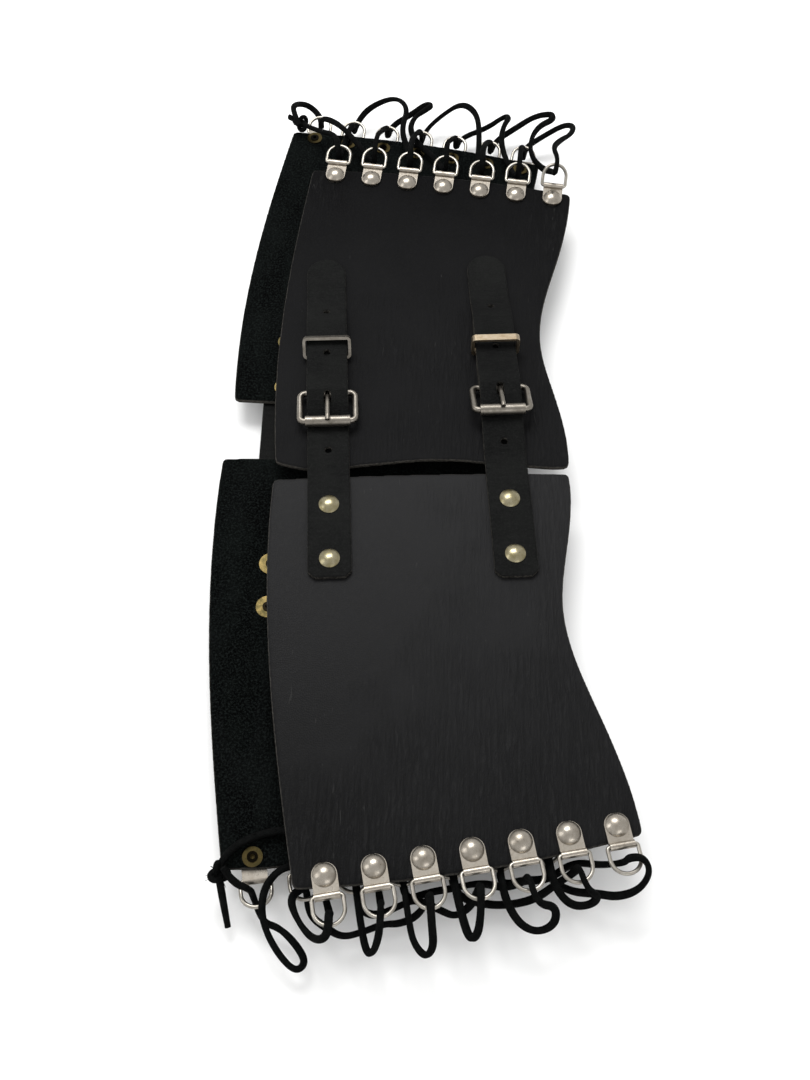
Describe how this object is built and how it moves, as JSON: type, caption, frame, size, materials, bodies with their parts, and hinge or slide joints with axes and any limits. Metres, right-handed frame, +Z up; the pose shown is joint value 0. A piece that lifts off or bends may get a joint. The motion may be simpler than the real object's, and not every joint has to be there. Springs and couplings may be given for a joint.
{
  "type": "leather corset belt",
  "caption": "Buckled leather waist cincher: curved panels with front and back strap buckles, side-laced through rows of hinged D rings.",
  "frame": {"origin": "on the ground under the middle of the belt's box, cords left out", "axes": "+X from the hip edge to the underbust edge, +Y from the lacing of the strap-side front panel to the other lacing, +Z up out of the front pair's grain face"},
  "size_m": [0.1934, 0.4851, 0.043],
  "materials": {
    "panel_leather": "black, semi-gloss, finely creased",
    "strap_leather": "black, waxed",
    "nickel_hardware": "nickel plated, lightly worn",
    "worn_rivets": "worn plating over brass",
    "steel_rivets": "nickel plated",
    "suede_cord": "black suede, matte"
  },
  "bodies": {
    "back_half": {"back_billet_rivets": "steel_rivets", "back_buckle_clip_rivets": "nickel_hardware", "back_buckle_clips": "nickel_hardware", "back_buckle_panel": "panel_leather", "back_bust_billet": "strap_leather", "back_bust_strap": "strap_leather", "back_hip_billet": "strap_leather", "back_hip_strap": "strap_leather", "back_strap_clip_rivets": "nickel_hardware", "back_strap_clips": "nickel_hardware", "back_strap_panel": "panel_leather", "back_strap_rivets": "worn_rivets", "bottom_lace": "suede_cord", "top_lace": "suede_cord"},
    "front_buckle_side": {"front_buckle_panel": "panel_leather", "front_buckle_clips": "nickel_hardware", "front_buckle_clip_rivets": "nickel_hardware", "front_billet_rivets": "steel_rivets", "front_hip_billet": "strap_leather", "front_bust_billet": "strap_leather"},
    "front_strap_side": {"front_strap_panel": "panel_leather", "front_strap_clips": "nickel_hardware", "front_strap_clip_rivets": "nickel_hardware", "front_strap_rivets": "worn_rivets", "front_hip_strap": "strap_leather", "front_bust_strap": "strap_leather"},
    "front_buckle_ring_1": {"front_buckle_ring_1": "nickel_hardware"},
    "front_buckle_ring_2": {"front_buckle_ring_2": "nickel_hardware"},
    "front_buckle_ring_3": {"front_buckle_ring_3": "nickel_hardware"},
    "front_buckle_ring_4": {"front_buckle_ring_4": "nickel_hardware"},
    "front_buckle_ring_5": {"front_buckle_ring_5": "nickel_hardware"},
    "front_buckle_ring_6": {"front_buckle_ring_6": "nickel_hardware"},
    "front_buckle_ring_7": {"front_buckle_ring_7": "nickel_hardware"},
    "front_strap_ring_1": {"front_strap_ring_1": "nickel_hardware"},
    "front_strap_ring_2": {"front_strap_ring_2": "nickel_hardware"},
    "front_strap_ring_3": {"front_strap_ring_3": "nickel_hardware"},
    "front_strap_ring_4": {"front_strap_ring_4": "nickel_hardware"},
    "front_strap_ring_5": {"front_strap_ring_5": "nickel_hardware"},
    "front_strap_ring_6": {"front_strap_ring_6": "nickel_hardware"},
    "front_strap_ring_7": {"front_strap_ring_7": "nickel_hardware"},
    "back_strap_rings": {"back_strap_rings": "nickel_hardware"},
    "back_buckle_rings": {"back_buckle_rings": "nickel_hardware"},
    "front_hip_buckle": {"front_hip_buckle": "nickel_hardware"},
    "front_hip_prong": {"front_hip_prong": "nickel_hardware"},
    "front_hip_roller": {"front_hip_roller": "nickel_hardware"},
    "front_hip_keeper": {"front_hip_keeper": "nickel_hardware"},
    "front_bust_buckle": {"front_bust_buckle": "nickel_hardware"},
    "front_bust_prong": {"front_bust_prong": "nickel_hardware"},
    "front_bust_roller": {"front_bust_roller": "nickel_hardware"},
    "front_bust_keeper": {"front_bust_keeper": "nickel_hardware"},
    "back_hip_buckle": {"back_hip_buckle": "nickel_hardware"},
    "back_hip_prong": {"back_hip_prong": "nickel_hardware"},
    "back_hip_roller": {"back_hip_roller": "nickel_hardware"},
    "back_hip_keeper": {"back_hip_keeper": "nickel_hardware"},
    "back_bust_buckle": {"back_bust_buckle": "nickel_hardware"},
    "back_bust_prong": {"back_bust_prong": "nickel_hardware"},
    "back_bust_roller": {"back_bust_roller": "nickel_hardware"},
    "back_bust_keeper": {"back_bust_keeper": "nickel_hardware"}
  },
  "joints": [
    {"name": "top_lacing_fold", "type": "hinge", "parent": "back_half", "child": "front_buckle_side", "pos_m": [0.00584, 0.2021, 0.02272], "axis": [-0.991, 0.134, 0], "range_deg": [0, 150], "deforming": ["back_bust_strap", "back_hip_strap", "front_bust_strap", "front_hip_strap", "top_lace"]},
    {"name": "bottom_lacing_fold", "type": "hinge", "parent": "back_half", "child": "front_strap_side", "pos_m": [0.01464, -0.21434, 0.02272], "axis": [0.9829, 0.184, 0], "range_deg": [0, 150], "deforming": ["bottom_lace"]},
    {"name": "front_buckle_ring_1_swing", "type": "hinge", "parent": "front_buckle_side", "child": "front_buckle_ring_1", "pos_m": [-0.04822, 0.1782, 0.02715], "axis": [0.9943, -0.1063, 0], "range_deg": [-38, 92]},
    {"name": "front_buckle_ring_2_swing", "type": "hinge", "parent": "front_buckle_side", "child": "front_buckle_ring_2", "pos_m": [-0.02833, 0.17607, 0.02715], "axis": [0.9943, -0.1063, 0], "range_deg": [-44, 86]},
    {"name": "front_buckle_ring_3_swing", "type": "hinge", "parent": "front_buckle_side", "child": "front_buckle_ring_3", "pos_m": [-0.00844, 0.17395, 0.02715], "axis": [0.9943, -0.1063, 0], "range_deg": [-40, 90]},
    {"name": "front_buckle_ring_4_swing", "type": "hinge", "parent": "front_buckle_side", "child": "front_buckle_ring_4", "pos_m": [0.01144, 0.17182, 0.02715], "axis": [0.9943, -0.1063, 0], "range_deg": [-42, 88]},
    {"name": "front_buckle_ring_5_swing", "type": "hinge", "parent": "front_buckle_side", "child": "front_buckle_ring_5", "pos_m": [0.03133, 0.1697, 0.02715], "axis": [0.9943, -0.1063, 0], "range_deg": [-38, 92]},
    {"name": "front_buckle_ring_6_swing", "type": "hinge", "parent": "front_buckle_side", "child": "front_buckle_ring_6", "pos_m": [0.05122, 0.16757, 0.02715], "axis": [0.9943, -0.1063, 0], "range_deg": [-46, 84]},
    {"name": "front_buckle_ring_7_swing", "type": "hinge", "parent": "front_buckle_side", "child": "front_buckle_ring_7", "pos_m": [0.0711, 0.16545, 0.02715], "axis": [0.9943, -0.1063, 0], "range_deg": [-70, 60]},
    {"name": "front_strap_ring_1_swing", "type": "hinge", "parent": "front_strap_side", "child": "front_strap_ring_1", "pos_m": [-0.03128, -0.21772, 0.02715], "axis": [-0.981, -0.1942, 0], "range_deg": [-34, 96]},
    {"name": "front_strap_ring_2_swing", "type": "hinge", "parent": "front_strap_side", "child": "front_strap_ring_2", "pos_m": [-0.01166, -0.21383, 0.02715], "axis": [-0.981, -0.1942, 0], "range_deg": [-32, 98]},
    {"name": "front_strap_ring_3_swing", "type": "hinge", "parent": "front_strap_side", "child": "front_strap_ring_3", "pos_m": [0.00796, -0.20995, 0.02715], "axis": [-0.981, -0.1942, 0], "range_deg": [-30, 100]},
    {"name": "front_strap_ring_4_swing", "type": "hinge", "parent": "front_strap_side", "child": "front_strap_ring_4", "pos_m": [0.02758, -0.20606, 0.02715], "axis": [-0.981, -0.1942, 0], "range_deg": [-36, 94]},
    {"name": "front_strap_ring_5_swing", "type": "hinge", "parent": "front_strap_side", "child": "front_strap_ring_5", "pos_m": [0.0472, -0.20218, 0.02715], "axis": [-0.981, -0.1942, 0], "range_deg": [-33, 97]},
    {"name": "front_strap_ring_6_swing", "type": "hinge", "parent": "front_strap_side", "child": "front_strap_ring_6", "pos_m": [0.06682, -0.19829, 0.02715], "axis": [-0.981, -0.1942, 0], "range_deg": [-30, 100]},
    {"name": "front_strap_ring_7_swing", "type": "hinge", "parent": "front_strap_side", "child": "front_strap_ring_7", "pos_m": [0.08644, -0.19441, 0.02715], "axis": [-0.981, -0.1942, 0], "range_deg": [-32, 98]},
    {"name": "back_strap_rings_swing", "type": "hinge", "parent": "back_half", "child": "back_strap_rings", "pos_m": [-0.00302, 0.20821, 0.01069], "axis": [-0.9869, 0.1616, 0], "range_deg": [-30, 50]},
    {"name": "back_buckle_rings_swing", "type": "hinge", "parent": "back_half", "child": "back_buckle_rings", "pos_m": [-0.0028, -0.19862, 0.01069], "axis": [0.9848, 0.1736, 0], "range_deg": [-30, 50]},
    {"name": "front_hip_buckle_tilt", "type": "hinge", "parent": "front_buckle_side", "child": "front_hip_buckle", "pos_m": [-0.04474, 0.02121, 0.02915], "axis": [-0.9978, -0.0663, 0], "range_deg": [0, 25]},
    {"name": "front_hip_prong_swing", "type": "hinge", "parent": "front_hip_buckle", "child": "front_hip_prong", "pos_m": [-0.04474, 0.02121, 0.02915], "axis": [-0.9978, -0.0663, 0], "range_deg": [0, 100]},
    {"name": "front_hip_roller_spin", "type": "hinge", "parent": "front_hip_buckle", "child": "front_hip_roller", "pos_m": [-0.04359, 0.00383, 0.03083], "axis": [0.9978, 0.0663, 0], "continuous": true},
    {"name": "front_hip_keeper_rock", "type": "hinge", "parent": "front_buckle_side", "child": "front_hip_keeper", "pos_m": [-0.0463, 0.04466, 0.02737], "axis": [-0.9978, -0.0663, 0], "range_deg": [-36, 0]},
    {"name": "front_bust_buckle_tilt", "type": "hinge", "parent": "front_buckle_side", "child": "front_bust_buckle", "pos_m": [0.03926, 0.02764, 0.02915], "axis": [-0.9974, -0.0715, 0], "range_deg": [0, 25]},
    {"name": "front_bust_prong_swing", "type": "hinge", "parent": "front_bust_buckle", "child": "front_bust_prong", "pos_m": [0.03926, 0.02764, 0.02915], "axis": [-0.9974, -0.0715, 0], "range_deg": [0, 100]},
    {"name": "front_bust_roller_spin", "type": "hinge", "parent": "front_bust_buckle", "child": "front_bust_roller", "pos_m": [0.04045, 0.01104, 0.03456], "axis": [0.9974, 0.0715, 0], "continuous": true},
    {"name": "front_bust_keeper_rock", "type": "hinge", "parent": "front_buckle_side", "child": "front_bust_keeper", "pos_m": [0.03758, 0.05108, 0.02737], "axis": [-0.9974, -0.0715, 0], "range_deg": [-6, 32]},
    {"name": "back_hip_buckle_tilt", "type": "hinge", "parent": "back_half", "child": "back_hip_buckle", "pos_m": [-0.067, -0.05212, 0.00869], "axis": [-0.9999, -0.0157, 0], "range_deg": [0, 25]},
    {"name": "back_hip_prong_swing", "type": "hinge", "parent": "back_hip_buckle", "child": "back_hip_prong", "pos_m": [-0.067, -0.05212, 0.00869], "axis": [-0.9999, -0.0157, 0], "range_deg": [0, 100]},
    {"name": "back_hip_roller_spin", "type": "hinge", "parent": "back_hip_buckle", "child": "back_hip_roller", "pos_m": [-0.06727, -0.0347, 0.00701], "axis": [0.9999, 0.0157, 0], "continuous": true},
    {"name": "back_hip_keeper_rock", "type": "hinge", "parent": "back_half", "child": "back_hip_keeper", "pos_m": [-0.06663, -0.07562, 0.01047], "axis": [-0.9999, -0.0157, 0], "range_deg": [-12, 26]},
    {"name": "back_bust_buckle_tilt", "type": "hinge", "parent": "back_half", "child": "back_bust_buckle", "pos_m": [0.01695, -0.04904, 0.00869], "axis": [-0.9999, -0.0157, 0], "range_deg": [0, 25]},
    {"name": "back_bust_prong_swing", "type": "hinge", "parent": "back_bust_buckle", "child": "back_bust_prong", "pos_m": [0.01695, -0.04904, 0.00869], "axis": [-0.9999, -0.0157, 0], "range_deg": [0, 100]},
    {"name": "back_bust_roller_spin", "type": "hinge", "parent": "back_bust_buckle", "child": "back_bust_roller", "pos_m": [0.01667, -0.03162, 0.00701], "axis": [0.9999, 0.0157, 0], "continuous": true},
    {"name": "back_bust_keeper_rock", "type": "hinge", "parent": "back_half", "child": "back_bust_keeper", "pos_m": [0.01732, -0.07254, 0.01047], "axis": [-0.9999, -0.0157, 0], "range_deg": [-12, 26]}
  ]
}
